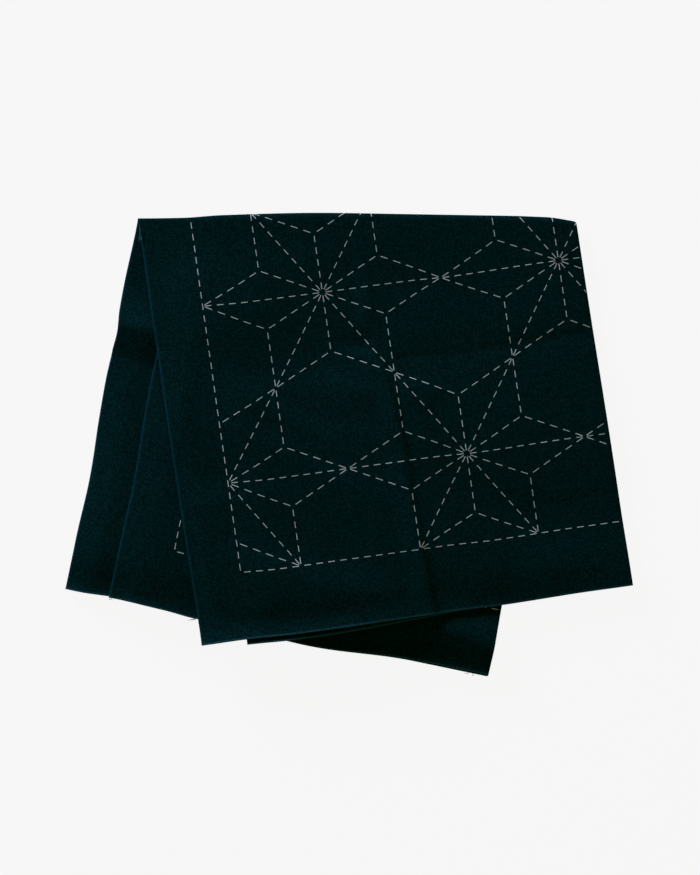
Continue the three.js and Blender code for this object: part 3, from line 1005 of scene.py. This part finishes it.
def ink_material(weave):
    """Pale grey wash-out ink: it sits on the tops of the threads, so it darkens between them."""
    material, nodes, links, shader = new_material("Guide ink", roughness=0.85, specular=0.1)
    uv = node(nodes, "ShaderNodeUVMap", uv_map="Cloth")
    threads = add_group(nodes, links, weave, uv.outputs[0], **WEAVE)
    tone = math_node(nodes, links, "ADD", threads.outputs["Tone"], INK_TONE["base"])
    tone = math_node(nodes, links, "MULTIPLY_ADD", threads.outputs["Height"], INK_TONE["height"], tone)
    colour = colour_mix(nodes, links, tone, INK_THIN, INK_PALE)
    links.new(colour, shader.inputs["Base Color"])
    add_bump(nodes, links, shader, threads.outputs["Height"], strength=0.4, distance=0.0001)
    return material


def thread_material():
    """Loose cotton, paler than the cloth, with a tone that varies along it."""
    material, nodes, links, shader = new_material("Loose cotton", roughness=0.9, specular=0.0)
    coords = nodes.new("ShaderNodeTexCoord")
    noise = noise_node(nodes, links, coords.outputs["Object"], FINE_GRAIN, 2)
    colour = colour_mix(nodes, links, noise.outputs["Fac"], THREAD_DARK, THREAD_PALE)
    links.new(colour, shader.inputs["Base Color"])
    return material


def floor_material():
    """Pale sheet lit from behind, as on a light table, so that only a faint shadow falls on it."""
    material, nodes, links, shader = new_material("Lit pale sheet", roughness=0.9, specular=0.0)
    coords = nodes.new("ShaderNodeTexCoord")
    noise = noise_node(nodes, links, coords.outputs["Object"], FINE_GRAIN, 2)
    add_bump(nodes, links, shader, noise.outputs["Fac"], strength=0.04, distance=0.0001)
    shader.inputs["Base Color"].default_value = (FLOOR_TONE, FLOOR_TONE, FLOOR_TONE, 1)
    shader.inputs["Emission Color"].default_value = (1, 1, 1, 1)
    shader.inputs["Emission Strength"].default_value = FLOOR_GLOW
    return material


# Floor, a little under the cloth
FLOOR_HALF = 9000.0
FLOOR_DROP = 0.2

# The light: one window-like panel low on the upper left, bluish, and a greener light from all round.
# Together they are neutral on a flat surface. Distance and size are metres, height and side degrees.
KEY_DISTANCE = 2.4
KEY_SIZE = 0.6
KEY_HEIGHT = 17.0
KEY_FROM = 125.0
KEY_IRRADIANCE = 2.15
KEY_COLOUR = (1.05, 1.0, 1.34)
FILL_STRENGTH = 0.4415
FILL_COLOUR = (0.92, 1.0, 0.447)

# The camera looks straight down. PICTURE and BOX_MIDDLE_PIXEL are pixels of the picture, the second
# the middle of the cloth's box, and MM_PER_PIXEL is its scale at SHARP_HEIGHT over the floor.
PICTURE = (700, 875)
BOX_MIDDLE_PIXEL = (349.4, 444.5)
MM_PER_PIXEL = 0.4209
SHARP_HEIGHT = 4.0
LENS = 85.0
SENSOR = 36.0
CAMERA_REACH = 20.0


def build_floor():
    """A wide square plane under the cloth."""
    square = np.array([[-1, -1], [1, -1], [1, 1], [-1, 1]]) * FLOOR_HALF
    corners = np.column_stack([square, np.full(4, -FLOOR_DROP)])
    floor = make_object("floor", corners, np.array([[0, 1, 2, 3]]), smooth=False)
    floor.data.materials.append(floor_material())
    return floor


def build_light():
    """A soft key light that faces the cloth, its power worked out from the light that it is to give,
    and an even light from all round."""
    light = bpy.data.lights.new("Window", "AREA")
    light.shape = "SQUARE"
    light.size = KEY_SIZE
    light.energy = KEY_IRRADIANCE * math.pi * KEY_DISTANCE ** 2 / math.sin(math.radians(KEY_HEIGHT))
    light.color = KEY_COLOUR
    key = bpy.data.objects.new("Window", light)
    lean, side = math.radians(90 - KEY_HEIGHT), math.radians(KEY_FROM)
    way = (math.sin(lean) * math.cos(side), math.sin(lean) * math.sin(side), math.cos(lean))
    key.location = [KEY_DISTANCE * part for part in way]
    key.rotation_euler = (0, lean, side)
    bpy.context.scene.collection.objects.link(key)
    world = bpy.data.worlds.new("Soft light")
    world.use_nodes = True
    background = world.node_tree.nodes["Background"]
    background.inputs["Color"].default_value = (*FILL_COLOUR, 1)
    background.inputs["Strength"].default_value = FILL_STRENGTH
    bpy.context.scene.world = world


def build_camera():
    """Straight above, at the distance where one picture row spans its real size."""
    camera = bpy.data.cameras.new("Camera")
    camera.lens = LENS
    camera.sensor_width = SENSOR
    camera.sensor_fit = "AUTO"
    camera.clip_end = CAMERA_REACH
    obj = bpy.data.objects.new("Camera", camera)
    x = (PICTURE[0] / 2 - BOX_MIDDLE_PIXEL[0]) * MM_PER_PIXEL
    y = (BOX_MIDDLE_PIXEL[1] - PICTURE[1] / 2) * MM_PER_PIXEL
    height = PICTURE[1] * MM_PER_PIXEL * LENS / SENSOR + SHARP_HEIGHT
    obj.location = (x * MM, y * MM, height * MM)
    bpy.context.scene.collection.objects.link(obj)
    bpy.context.scene.camera = obj


build_camera()
build_light()
floor = build_floor()
bpy.context.scene.view_settings.view_transform = "Standard"

weave = plain_weave_group()
fray_highlight = frayed_edge_highlight_group()
cloth = build_cloth()
cloth.data.materials.append(cloth_material(weave, fray_highlight))
guide = build_guide()
guide.data.materials.append(ink_material(weave))
threads = build_threads()
threads.data.materials.append(thread_material())

for piece, slot in ((cloth, "cloth"), (guide, "guide_print"), (threads, "loose_threads")):
    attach(piece, "root")
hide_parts("folded_cloth")
